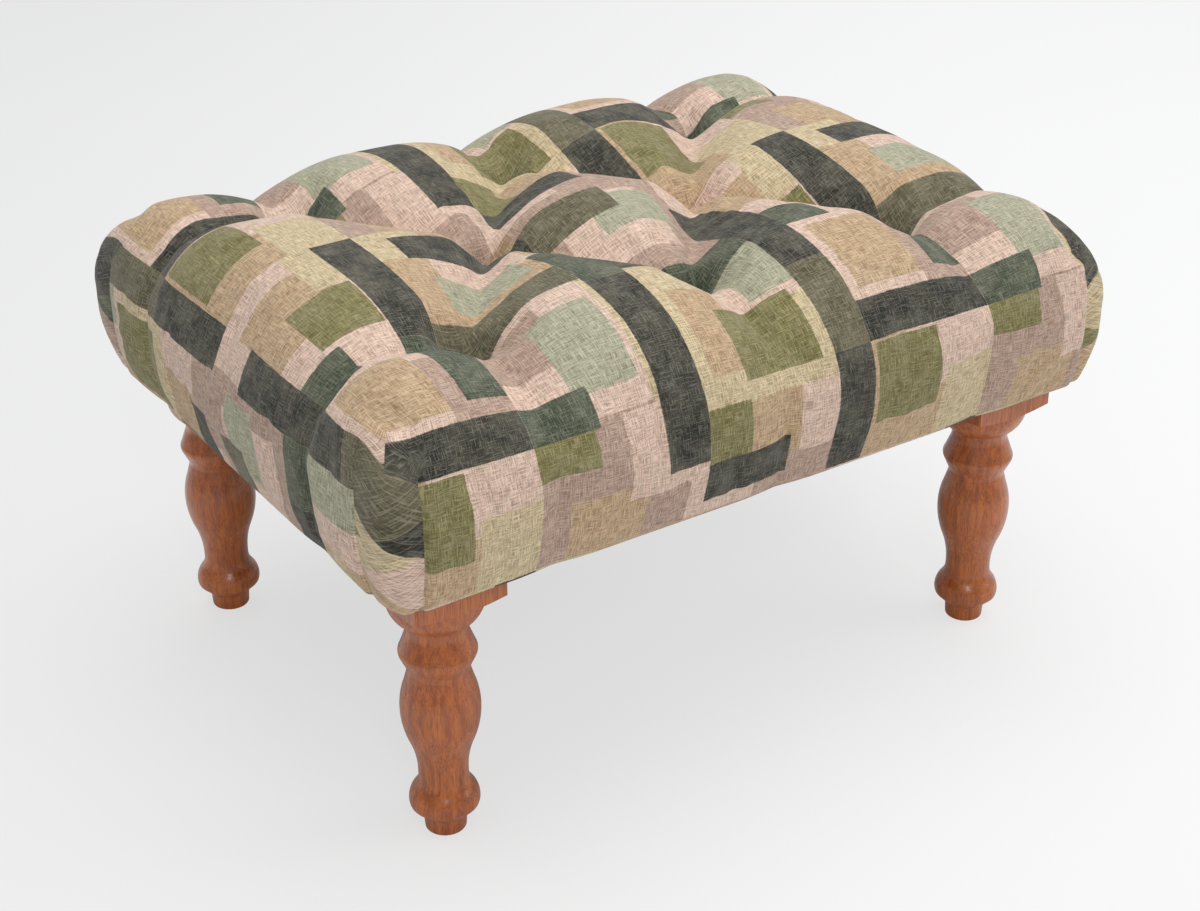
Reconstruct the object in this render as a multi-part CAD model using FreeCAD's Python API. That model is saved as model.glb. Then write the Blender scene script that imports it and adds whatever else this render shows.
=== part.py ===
"""Upholstered footstool: a tufted cushion on a boxed wooden frame with four turned legs.

Frame: origin on the floor under the middle of the stool, X along its long side, Y away from
the viewer of its front, Z up. All sizes are in millimetres and degrees.
"""
import FreeCAD, Part

import math
import os

Vec = FreeCAD.Vector
UP = Vec(0, 0, 1)
os.makedirs("parts", exist_ok=True)

# Wooden frame
frame_length = 500.0
frame_width = 382.0
rail_height = 45.0
rail_thickness = 20.0
deck_thickness = 9.0
corner_block_side = 80.0
corner_block_tip = 12.0

# Legs: height of the turned leg up to the seat, its square block and its spacing
leg_height = 187.0
leg_block = 60.0
leg_spacing_x = 418.7
leg_spacing_y = 301.8

# Leg turning: heights above the floor and radii, from the foot up
foot_radius = 12.6
foot_round = 1.2
foot_top_height = 10.5
foot_top_radius = 13.3
bulb_lip_height = 18.2
bulb_lip_radius = 20.9
bulb_height = 21.5
bulb_radius = 21.5
ankle_height = 39.5
ankle_radius = 15.1
ankle_length = 3.0
belly_height = 88.0
belly_radius = 24.0
shoulder_height = 105.5
shoulder_radius = 20.9
collar_height = 114.0
collar_radius = 18.5
ring_foot_height = 117.4
ring_foot_radius = 19.2
ring_lower_lip_height = 125.2
ring_lower_lip_radius = 22.8
ring_height = 127.4
ring_radius = 23.3
ring_upper_lip_height = 129.8
ring_upper_lip_radius = 22.6
ring_top_height = 139.2
ring_top_radius = 19.1
neck_height = 142.4
neck_radius = 18.4
cup_foot_height = 147.6
cup_foot_radius = 19.4
cup_height = 165.5
cup_radius = 29.4
block_foot_height = 168.4

# Cover, wadding and foam
cover_thickness = 1.5
wadding_thickness = 6.0
wadding_at_hem = 4.2
hem_width = 30.0
dust_cover_thickness = 0.5
dust_cover_inset = 10.0
soft_gap = 0.3

# Crowned form of the seat, outside the cover
side_bulge = 6.3
bulge_height = 60.0
side_height = 77.0
roll_radius = 42.0
roll_rise = 37.0
crown_reach = 100.0
crown_rise = 9.0
crown_top_reach = 150.0
crown_top_rise = 13.0
roll_sweep = 75.0
roll_steps = 3
belly_share = 0.75
low_share = 0.45
hem_corner_radius = 17.0
crown_corner_radius = 46.0

# Tufts: two outer rows of three and a middle row of two between them
tuft_pitch = 157.0
tuft_row_offset = 109.0
tuft_floor_height = 258.0
tuft_mouth_radius = 38.0
tuft_floor_radius = 3.0
valley_height = 289.0
valley_half_width = 60.0
pleat_half_width = 58.0
pleat_depth = 9.0
pleat_end_depth = 1.2
fold_start_rise = 3.0
fold_start_half_width = 20.0
fold_quickness = 0.6
cutter_lid = 12.0
lid_clearance = 1.0
steepest_flank = 80.0
least_flank_turn = 4.0
diagonal_parts = (0.0, 0.2, 0.5, 0.8, 1.0)
pleat_parts = (0.0, 0.35, 1.0)
pleat_roll_steps = ((50.0, 1.0), (0.0, 0.6))
pleat_low_share = 0.4
low_bulge_share = 0.8
pleat_lid = 3.0

# Tuft ties and their washers under the deck
tie_radius = 1.0
tie_hole_clearance = 1.5
knot_radius = 2.6
knot_height = 2.0
washer_radius = 9.0
washer_thickness = 2.0

# Fasteners
bolt_radius = 4.0
bolt_in_leg = 30.0
insert_length = 15.0
insert_radius = 6.0
insert_flange_radius = 8.5
insert_flange_thickness = 1.2
screw_radius = 2.0
screw_head_radius = 4.0
screw_head_height = 2.4
rail_screw_length = 55.0
rail_screw_edge = 12.0
block_screw_length = 38.0
block_screw_seat = 24.0
block_screw_offset = 56.0
deck_screw_length = 32.0
deck_screws_per_long_rail = 4
deck_screws_per_short_rail = 2
deck_screw_end_distance = 60.0
screw_hole_clearance = 0.1
staple_crown = 10.0
staple_wire = 0.6
staple_width = 1.0
staple_leg = 7.0
staple_corner_gap = 40.0
cover_staple_inset = 17.0
cover_staple_pitch = 38.0
dust_staple_inset = 13.0
dust_staple_pitch = 52.0

# Heights and half sizes that follow from those
dust_top = leg_height + dust_cover_thickness
rail_foot = dust_top + cover_thickness
rail_top = rail_foot + rail_height
deck_top = rail_top + deck_thickness
half_frame_x = frame_length / 2
half_frame_y = frame_width / 2
hem_half_x = half_frame_x + wadding_at_hem + cover_thickness
hem_half_y = half_frame_y + wadding_at_hem + cover_thickness
side_top = dust_top + side_height
roll_top = side_top + roll_rise
crown_top = roll_top + crown_top_rise
bolt_end = rail_foot + insert_length
leg_x = leg_spacing_x / 2
leg_y = leg_spacing_y / 2
inner_x = half_frame_x - rail_thickness
inner_y = half_frame_y - rail_thickness
SIGNS = [("left", -1), ("right", 1)]
ENDS = [("front", -1), ("back", 1)]
tuft_points = {
    (row, place): Vec(place * tuft_pitch, row * tuft_row_offset, 0)
    for row in (-1, 1)
    for place in (-1, 0, 1)
}
tuft_points.update({(0, side): Vec(side * tuft_pitch / 2, 0, 0) for side in (-1, 1)})


def save(name, shape):
    """Write one node and print how many solids it holds."""
    if not shape.isValid():
        print("not valid:", name)
    shape.exportStep("parts/" + name + ".step")
    print(name, len(shape.Solids), round(shape.Volume, 1))


def group(shapes):
    """Separate solids of one node."""
    return Part.makeCompound(shapes)


def box_between(low, high):
    """Box with two opposite corners given."""
    size = high - low
    return Part.makeBox(size.x, size.y, size.z, low)


def slab(half_x, half_y, low, high):
    """Plain block centred on the upright axis."""
    return box_between(Vec(-half_x, -half_y, low), Vec(half_x, half_y, high))


def cylinder(start, direction, radius, length):
    return Part.makeCylinder(radius, length, start, direction)


def revolve_about(edges):
    """Solid of revolution of a closed half outline about the upright axis."""
    return Part.Face(Part.Wire(Part.__sortEdges__(edges))).revolve(Vec(), UP, 360)


def line(a, b):
    return Part.LineSegment(a, b).toShape()


def arc(a, middle, b):
    return Part.Arc(a, middle, b).toShape()


def swell(full, edge):
    """Arc of a turning that is upright at its full radius and ends at an edge above or below."""
    chord = edge - full
    turn = math.atan2(abs(chord.x), abs(chord.z))
    outward = Vec(abs(chord.z), 0, abs(chord.x) if chord.z > 0 else -abs(chord.x)).normalize()
    if chord.x > 0:
        outward = Vec(-outward.x, 0, outward.z)
    return arc(full, (full + edge) * 0.5 + outward * (chord.Length / 2 * math.tan(turn / 2)), edge)


def ogee(full, slim):
    """Round shoulder that turns into a hollow, upright at both its radii."""
    middle = (full + slim) * 0.5
    return [swell(full, middle), swell(slim, middle)]


# Wooden legs


def leg_outline():
    """Half outline of the turning, from the foot up, in the XZ plane."""
    centre = Vec(0, 0, 0)
    sole = Vec(foot_radius - foot_round, 0, 0)
    foot = Vec(foot_radius, 0, foot_round)
    foot_top = Vec(foot_top_radius, 0, foot_top_height)
    bulb_lip = Vec(bulb_lip_radius, 0, bulb_lip_height)
    bulb = Vec(bulb_radius, 0, bulb_height)
    ankle = Vec(ankle_radius, 0, ankle_height)
    ankle_top = Vec(ankle_radius, 0, ankle_height + ankle_length)
    belly = Vec(belly_radius, 0, belly_height)
    shoulder = Vec(shoulder_radius, 0, shoulder_height)
    collar = Vec(collar_radius, 0, collar_height)
    ring_foot = Vec(ring_foot_radius, 0, ring_foot_height)
    lower_lip = Vec(ring_lower_lip_radius, 0, ring_lower_lip_height)
    ring = Vec(ring_radius, 0, ring_height)
    upper_lip = Vec(ring_upper_lip_radius, 0, ring_upper_lip_height)
    ring_top = Vec(ring_top_radius, 0, ring_top_height)
    neck = Vec(neck_radius, 0, neck_height)
    cup_foot = Vec(cup_foot_radius, 0, cup_foot_height)
    cup = Vec(cup_radius, 0, cup_height)
    corner = Vec(leg_block / math.sqrt(2), 0, block_foot_height)
    block_top = Vec(corner.x, 0, leg_height)
    axis_top = Vec(0, 0, leg_height)
    return [
        line(centre, sole),
        swell(foot, sole),
        line(foot, foot_top),
        line(foot_top, bulb_lip),
        swell(bulb, bulb_lip),
        *ogee(bulb, ankle),
        line(ankle, ankle_top),
        *ogee(belly, ankle_top),
        swell(belly, shoulder),
        line(shoulder, collar),
        swell(collar, ring_foot),
        line(ring_foot, lower_lip),
        swell(ring, lower_lip),
        swell(ring, upper_lip),
        line(upper_lip, ring_top),
        swell(neck, ring_top),
        swell(neck, cup_foot),
        swell(cup, cup_foot),
        line(cup, corner),
        line(corner, block_top),
        line(block_top, axis_top),
        line(axis_top, centre),
    ]


def leg(x, y):
    """Turned leg with its square block on top, bored for the hanger bolt."""
    turned = revolve_about(leg_outline())
    square = slab(leg_block / 2, leg_block / 2, 0, leg_height)
    bore = cylinder(UP * (leg_height - bolt_in_leg), UP, bolt_radius, bolt_in_leg)
    shape = turned.common(square).cut(bore)
    shape.translate(Vec(x, y, 0))
    return shape


# Seat form


def rounded_ring(half_x, half_y, corner, z):
    """Rounded rectangle of four lines and four quarter arcs, level at height z."""
    edges = []
    centres = [
        (half_x - corner, half_y - corner),
        (corner - half_x, half_y - corner),
        (corner - half_x, corner - half_y),
        (half_x - corner, corner - half_y),
    ]
    previous = None
    first = None
    for quarter, (cx, cy) in enumerate(centres):
        points = [
            Vec(cx + corner * math.cos(angle), cy + corner * math.sin(angle), z)
            for angle in (math.pi / 2 * quarter + math.pi / 4 * step for step in range(3))
        ]
        if previous:
            edges.append(line(previous, points[0]))
        else:
            first = points[0]
        edges.append(arc(*points))
        previous = points[2]
    edges.append(line(previous, first))
    return Part.Wire(edges)


def roll_point(angle, inset):
    """Outset from the hem and height of the rolled edge, at an angle up from its side."""
    outset = side_bulge - roll_radius + (roll_radius - inset) * math.cos(math.radians(angle))
    return outset, side_top + (roll_rise - inset) * math.sin(math.radians(angle))


def ring_loft(levels, ruled):
    """Loft of rounded rectangles, each given by its outset from the hem and its height."""
    wires = []
    for outset, z in levels:
        share = min(1.0, max(0.0, side_bulge - outset) / crown_reach)
        corner = hem_corner_radius + (crown_corner_radius - hem_corner_radius) * share
        wires.append(rounded_ring(hem_half_x + outset, hem_half_y + outset, corner, z))
    return Part.makeLoft(wires, True, ruled)


def crowned_block(inset):
    """Seat block without tufts: drawn in at the hem, full at mid height, crowned on top."""
    side = [
        (-inset, dust_top),
        (side_bulge * belly_share - inset, dust_top + bulge_height * low_share),
        (side_bulge - inset, dust_top + bulge_height),
        roll_point(0, inset),
    ]
    roll = [roll_point(roll_sweep * step / roll_steps, inset) for step in range(roll_steps + 1)]
    crown = [
        roll[-1],
        (side_bulge - crown_reach, roll_top + crown_rise - inset),
        (side_bulge - crown_top_reach, crown_top - inset),
    ]
    return ring_loft(side, False).fuse([ring_loft(roll, False), ring_loft(crown, True)])


def flank(low, high, across):
    """Convex flank of a fold: level at its top, and no steeper than a limit at its foot."""
    chord = high - low
    run = abs(chord.dot(across))
    slope = math.degrees(math.atan2((chord - across * chord.dot(across)).Length, run))
    turn = min(slope, steepest_flank - slope)
    inward = across * (-1 if chord.dot(across) > 0 else 1)
    normal = inward - chord * (inward.dot(chord) / chord.Length ** 2)
    normal.normalize()
    bow = chord.Length / 2 * math.tan(math.radians(max(turn, least_flank_turn)) / 2)
    return arc(low, (low + high) * 0.5 + normal * bow, high)


def fold_section(foot, across, outward, half_width, depth):
    """Section of a fold's cutter: a curved V with a flat lid."""
    left = foot - across * half_width + outward * depth
    right = foot + across * half_width + outward * depth
    lid = outward * cutter_lid
    return Part.Wire([
        flank(foot, left, across),
        line(left, left + lid),
        line(left + lid, right + lid),
        line(right + lid, right),
        flank(foot, right, across),
    ])


def top_section(place, across, share, half_width, brow, inset):
    """Section of a fold on the crown: share 0 is at a tuft, share 1 at its highest, under the brow."""
    rise = share ** fold_quickness
    low = tuft_floor_height + fold_start_rise
    foot = place + UP * (low + (valley_height - low) * rise - inset)
    width = fold_start_half_width + (half_width - fold_start_half_width) * rise + inset / 2
    return fold_section(foot, across, UP, width, brow + lid_clearance - inset - foot.z)


def diagonal_fold(start, end, inset):
    """Cutter of the fold that runs from one tuft to the next."""
    run = end - start
    across = UP.cross(run).normalize()
    sections = [
        top_section(
            start + run * part, across, math.sin(math.pi * part), valley_half_width, crown_top, inset
        )
        for part in diagonal_parts
    ]
    return Part.makeLoft(sections, True, False)


def edge_fold(start, outward, reach, inset):
    """Cutter of the straight pleat from a tuft over the rolled edge and down the side."""
    across = UP.cross(outward)
    start_reach = start.dot(outward)
    base = start - outward * start_reach
    run = outward * (reach + side_bulge - roll_radius - start_reach)
    sections = [
        top_section(
            start + run * part,
            across,
            math.sin(math.pi / 2 * part),
            pleat_half_width,
            crown_top + (roll_top - crown_top) * part,
            inset,
        )
        for part in pleat_parts
    ]
    side_half_width = pleat_half_width / 2
    for angle, depth_share in pleat_roll_steps:
        depth = pleat_depth * depth_share
        outset, z = roll_point(angle, inset)
        direction = outward * math.cos(math.radians(angle)) + UP * math.sin(math.radians(angle))
        foot = base + outward * (reach + outset) + UP * z - direction * depth
        width = side_half_width * (1 + depth / roll_radius * 2)
        sections.append(fold_section(foot, across, direction, width, depth + pleat_lid))
    levels = (
        (dust_top + bulge_height / 2, side_bulge * low_bulge_share, pleat_depth * pleat_low_share),
        (dust_top - cutter_lid / 2, -lid_clearance, pleat_end_depth),
    )
    for z, outset, depth in levels:
        foot = base + outward * (reach + outset - inset - depth) + UP * z
        sections.append(fold_section(foot, across, outward, side_half_width, depth + pleat_lid))
    return Part.makeLoft(sections, True, False)


def tuft_pit(centre, inset):
    """Cutter of one tuft: a round pit with convex flanks."""
    floor_z = tuft_floor_height - inset
    floor_edge = Vec(tuft_floor_radius, 0, floor_z)
    mouth = Vec(tuft_mouth_radius + inset / 2, 0, crown_top + lid_clearance - inset)
    lid = mouth + UP * cutter_lid
    axis_top = Vec(0, 0, lid.z)
    axis_foot = Vec(0, 0, floor_z)
    outline = [
        line(axis_foot, floor_edge),
        flank(floor_edge, mouth, Vec(1, 0, 0)),
        line(mouth, lid),
        line(lid, axis_top),
        line(axis_top, axis_foot),
    ]
    pit = revolve_about(outline)
    pit.translate(centre)
    return pit


def quarter(shape):
    """The part of a shape that is right of and behind the middle."""
    reach = Vec(frame_length, frame_length, frame_length)
    return shape.common(box_between(Vec(), reach))


def whole(shape):
    """Four mirrored quarters joined into one solid."""
    for axis in (Vec(1, 0, 0), Vec(0, 1, 0)):
        shape = shape.fuse(shape.mirror(Vec(), axis)).removeSplitter()
    return shape


def quarter_form(inset):
    """Right back quarter of the seat form, drawn in all round by inset, with tufts and folds."""
    cutters = [tuft_pit(centre, inset) for centre in tuft_points.values()]
    for (row, place), start in tuft_points.items():
        if row == 0:
            continue
        for side in (-1, 1):
            if abs(place - side) <= 1:
                cutters.append(diagonal_fold(start, tuft_points[0, side], inset))
        cutters.append(edge_fold(start, Vec(0, row, 0), hem_half_y, inset))
        if place != 0:
            cutters.append(edge_fold(start, Vec(place, 0, 0), hem_half_x, inset))
    near = [tool for tool in cutters if tool.BoundBox.XMax > soft_gap and tool.BoundBox.YMax > soft_gap]
    form = quarter(crowned_block(inset))
    for tool in near:
        form = form.cut(tool)
    return form


def soft_layers():
    """Cover, wadding and foam, one inside the next, with holes for the tuft ties."""
    outer = quarter_form(0.0)
    lining = quarter_form(cover_thickness)
    core = quarter_form(cover_thickness + wadding_thickness)
    above = leg_height * 2
    wide = frame_length
    under_rails = slab(wide, wide, 0, rail_foot)
    opening = slab(hem_half_x - hem_width, hem_half_y - hem_width, 0, rail_foot)
    under_deck = slab(wide, wide, 0, deck_top)
    frame_block = slab(half_frame_x, half_frame_y, 0, deck_top)
    lining = lining.cut(under_rails)
    core = core.cut(under_deck)
    cover = outer.cut([lining, opening])
    wadding = lining.cut([core, frame_block])
    holes = [cylinder(point, UP, tie_radius + soft_gap, above) for point in tuft_points.values()]
    return [whole(shape).cut(holes) for shape in (cover, wadding, core)]


# Fasteners, each with the hole that it needs


def screw(head, direction, length, clearance=0.0):
    """Countersunk wood screw from the face at head, with a short point; clearance makes its hole."""
    shank = screw_radius + clearance
    wide = screw_head_radius + clearance
    tip = screw_radius / 2 + clearance
    cone = Part.makeCone(wide, shank, screw_head_height, head, direction)
    body = cylinder(head, direction, shank, length - screw_radius * 2)
    point_start = head + direction * (length - screw_radius * 2)
    point = Part.makeCone(shank, tip, screw_radius * 2, point_start, direction)
    return cone.fuse([body, point])


def rail_screw_places():
    """Heads on the long rails' faces, driven into the ends of the short rails."""
    for _, sx in SIGNS:
        for _, sy in ENDS:
            for z in (rail_foot + rail_screw_edge, rail_top - rail_screw_edge):
                head = Vec(sx * (half_frame_x - rail_thickness / 2), sy * half_frame_y, z)
                yield head, Vec(0, -sy, 0)


def block_screw_places():
    """Heads sunk in each corner block, one driven into each of its two rails."""
    z = rail_foot + rail_height / 2
    for _, sx in SIGNS:
        for _, sy in ENDS:
            seat_x = Vec(sx * (inner_x - block_screw_seat), sy * (inner_y - block_screw_offset), z)
            seat_y = Vec(sx * (inner_x - block_screw_offset), sy * (inner_y - block_screw_seat), z)
            yield seat_x, Vec(sx, 0, 0)
            yield seat_y, Vec(0, sy, 0)


def spaced(reach, count):
    """Evenly spaced places from -reach to reach."""
    return [reach * (2 * index / (count - 1) - 1) for index in range(count)]


def deck_screw_places():
    """Heads flush in the deck along the middle of each rail."""
    down = Vec(0, 0, -1)
    for side in (-1, 1):
        for x in spaced(half_frame_x - deck_screw_end_distance, deck_screws_per_long_rail):
            yield Vec(x, side * (half_frame_y - rail_thickness / 2), deck_top), down
        for y in spaced(half_frame_y - deck_screw_end_distance * 2, deck_screws_per_short_rail):
            yield Vec(side * (half_frame_x - rail_thickness / 2), y, deck_top), down


def staple(x, y, z, lengthwise):
    """Staple whose crown lies level with its underside at z and whose legs point up."""
    half = staple_crown / 2
    wire = staple_wire
    wide = staple_width / 2
    parts = [box_between(Vec(-half, -wide, 0), Vec(half, wide, wire))]
    for low, high in ((-half, -half + wire), (half - wire, half)):
        parts.append(box_between(Vec(low, -wide, 0), Vec(high, wide, wire + staple_leg)))
    shape = parts[0].fuse(parts[1:]).removeSplitter()
    if not lengthwise:
        shape.rotate(Vec(), UP, 90)
    shape.translate(Vec(x, y, z))
    return shape


def staple_ring(inset, pitch, z, clear=None):
    """Staples round the underside of the frame, set in from its outer faces."""
    ring = []
    for lengthwise, reach, offset in (
        (True, half_frame_x, half_frame_y - inset),
        (False, half_frame_y, half_frame_x - inset),
    ):
        count = max(2, int((reach - staple_corner_gap) * 2 / pitch) + 1)
        for along in spaced(reach - staple_corner_gap, count):
            for side in (-1, 1):
                x, y = (along, side * offset) if lengthwise else (side * offset, along)
                if clear is None or not clear(x, y):
                    ring.append(staple(x, y, z, lengthwise))
    return ring


def under_leg(x, y):
    """Whether a staple at this place would lie under the block of a leg."""
    reach = leg_block / 2 + staple_crown / 2 + soft_gap
    return abs(abs(x) - leg_x) < reach and abs(abs(y) - leg_y) < reach


def hanger_bolt(x, y):
    """Headless bolt with a wood thread in the leg and a machine thread in the insert."""
    return cylinder(Vec(x, y, leg_height - bolt_in_leg), UP, bolt_radius, bolt_end - leg_height + bolt_in_leg)


def insert_blank(x, y, bore):
    """Threaded insert with its flange flush under the corner block."""
    body = cylinder(Vec(x, y, rail_foot), UP, insert_radius, insert_length)
    flange = cylinder(Vec(x, y, rail_foot), UP, insert_flange_radius, insert_flange_thickness)
    shape = body.fuse(flange)
    if bore:
        shape = shape.cut(cylinder(Vec(x, y, rail_foot), UP, bolt_radius, insert_length))
    return shape


# Frame


def corner_block(sx, sy):
    """Five-sided block glued into a corner of the frame."""
    side = corner_block_side
    tip = corner_block_tip
    plan = [(0, 0), (side, 0), (side, tip), (tip, side), (0, side)]
    points = [Vec(sx * (inner_x - x), sy * (inner_y - y), rail_foot) for x, y in plan]
    outline = Part.makePolygon(points + points[:1])
    return Part.Face(outline).extrude(UP * rail_height)


def screw_way(seat, direction):
    """Counterbore that lets a screw's head into the slanting face of a corner block."""
    reach = corner_block_side
    return cylinder(seat - direction * reach, direction, screw_head_radius + screw_hole_clearance, reach)


def build_frame(staples):
    """Rails, corner blocks and deck, with every hole for what passes through them."""
    screws = [
        (rail_screw_length, list(rail_screw_places())),
        (block_screw_length, list(block_screw_places())),
        (deck_screw_length, list(deck_screw_places())),
    ]
    holes = [
        screw(head, direction, length, screw_hole_clearance)
        for length, places in screws
        for head, direction in places
    ]
    ways = [screw_way(seat, direction) for seat, direction in block_screw_places()]
    tie_holes = [
        cylinder(point, UP, tie_radius + tie_hole_clearance, deck_top * 2)
        for point in tuft_points.values()
    ]
    for end, sy in ENDS:
        low = Vec(-half_frame_x, min(sy * inner_y, sy * half_frame_y), rail_foot)
        high = Vec(half_frame_x, max(sy * inner_y, sy * half_frame_y), rail_top)
        save(end + "_rail", box_between(low, high).cut(near_tools(low, high, holes + staples)))
    for side, sx in SIGNS:
        low = Vec(min(sx * inner_x, sx * half_frame_x), -inner_y, rail_foot)
        high = Vec(max(sx * inner_x, sx * half_frame_x), inner_y, rail_top)
        save(side + "_rail", box_between(low, high).cut(near_tools(low, high, holes + staples)))
    for end, sy in ENDS:
        for side, sx in SIGNS:
            blank = insert_blank(sx * leg_x, sy * leg_y, False)
            block = corner_block(sx, sy).cut([blank] + holes + ways)
            save(end + "_" + side + "_corner_block", block)
    save("deck_board", slab(half_frame_x, half_frame_y, rail_top, deck_top).cut(holes + tie_holes))
    for name, (length, places) in zip(("rail_screws", "block_screws", "deck_screws"), screws):
        save(name, group([screw(head, direction, length) for head, direction in places]))


def near_tools(low, high, tools):
    """Those of the cutting tools whose boxes reach the box between two corners."""
    region = FreeCAD.BoundBox(low, high)
    return [tool for tool in tools if region.intersect(tool.BoundBox)]


def build_legs():
    """Four legs with their bolts and threaded inserts."""
    places = [(end, side, sx * leg_x, sy * leg_y) for end, sy in ENDS for side, sx in SIGNS]
    for end, side, x, y in places:
        save(end + "_" + side + "_leg", leg(x, y))
    save("hanger_bolts", group([hanger_bolt(x, y) for _, _, x, y in places]))
    save("threaded_inserts", group([insert_blank(x, y, True) for _, _, x, y in places]))


def build_tufts():
    """Twine ties from the pits down through the deck, and the washers that hold them."""
    ties = []
    washers = []
    foot = rail_top - washer_thickness
    for point in tuft_points.values():
        twine = cylinder(point + UP * foot, UP, tie_radius, tuft_floor_height - foot)
        knots = [
            cylinder(point + UP * tuft_floor_height, UP, knot_radius, knot_height),
            cylinder(point + UP * (foot - knot_height), UP, knot_radius, knot_height),
        ]
        ties.append(twine.fuse(knots))
        plate = cylinder(point + UP * foot, UP, washer_radius, washer_thickness)
        washers.append(plate.cut(cylinder(point + UP * foot, UP, tie_radius, washer_thickness)))
    save("tuft_ties", group(ties))
    save("tuft_washers", group(washers))


def build_soft_parts(cover_staples, dust_staples):
    """Foam, wadding, cover and the dust cover under the seat."""
    cover, wadding, foam = soft_layers()
    save("seat_cover", cover.cut(cover_staples + dust_staples))
    save("wadding", wadding)
    save("foam_block", foam)
    sheet = slab(half_frame_x - dust_cover_inset, half_frame_y - dust_cover_inset, leg_height, dust_top)
    bolt_holes = [
        cylinder(Vec(sx * leg_x, sy * leg_y, leg_height), UP, bolt_radius, dust_cover_thickness)
        for _, sx in SIGNS
        for _, sy in ENDS
    ]
    save("dust_cover", sheet.cut(bolt_holes + dust_staples))


cover_staples = staple_ring(cover_staple_inset, cover_staple_pitch, dust_top)
dust_staples = staple_ring(dust_staple_inset, dust_staple_pitch, leg_height - staple_wire, under_leg)
build_legs()
build_frame(cover_staples + dust_staples)
build_tufts()
save("cover_staples", group(cover_staples))
save("dust_cover_staples", group(dust_staples))
build_soft_parts(cover_staples, dust_staples)
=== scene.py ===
"""Looks of an upholstered footstool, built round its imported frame.

The seat is a tufted cushion under a printed linen cover. Its turned legs, its rails and its
fasteners are carried over from the frame and get their finishes here. All lengths are metres,
in the frame's own axes: X along the stool, Y away from its front, Z up from the floor.
"""
import logging
import math
from dataclasses import dataclass, field
from enum import Enum

import bpy
import numpy as np
from mathutils import Matrix, Vector


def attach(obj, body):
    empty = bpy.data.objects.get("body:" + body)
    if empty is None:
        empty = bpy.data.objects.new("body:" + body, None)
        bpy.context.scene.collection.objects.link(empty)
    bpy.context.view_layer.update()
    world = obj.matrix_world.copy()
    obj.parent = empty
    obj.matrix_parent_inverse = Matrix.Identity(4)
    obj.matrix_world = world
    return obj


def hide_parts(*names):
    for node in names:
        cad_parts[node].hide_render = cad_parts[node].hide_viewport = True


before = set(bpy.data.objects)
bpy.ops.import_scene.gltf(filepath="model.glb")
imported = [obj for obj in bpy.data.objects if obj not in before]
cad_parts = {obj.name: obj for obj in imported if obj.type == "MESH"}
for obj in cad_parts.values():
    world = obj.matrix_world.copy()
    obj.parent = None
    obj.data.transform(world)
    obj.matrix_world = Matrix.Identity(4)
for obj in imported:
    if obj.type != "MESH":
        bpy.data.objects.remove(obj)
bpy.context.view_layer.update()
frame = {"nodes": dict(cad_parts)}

log = logging.getLogger("footstool")
MM = 0.001
CORNERS = ("front_left", "front_right", "back_left", "back_right")


# Node trees


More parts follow.
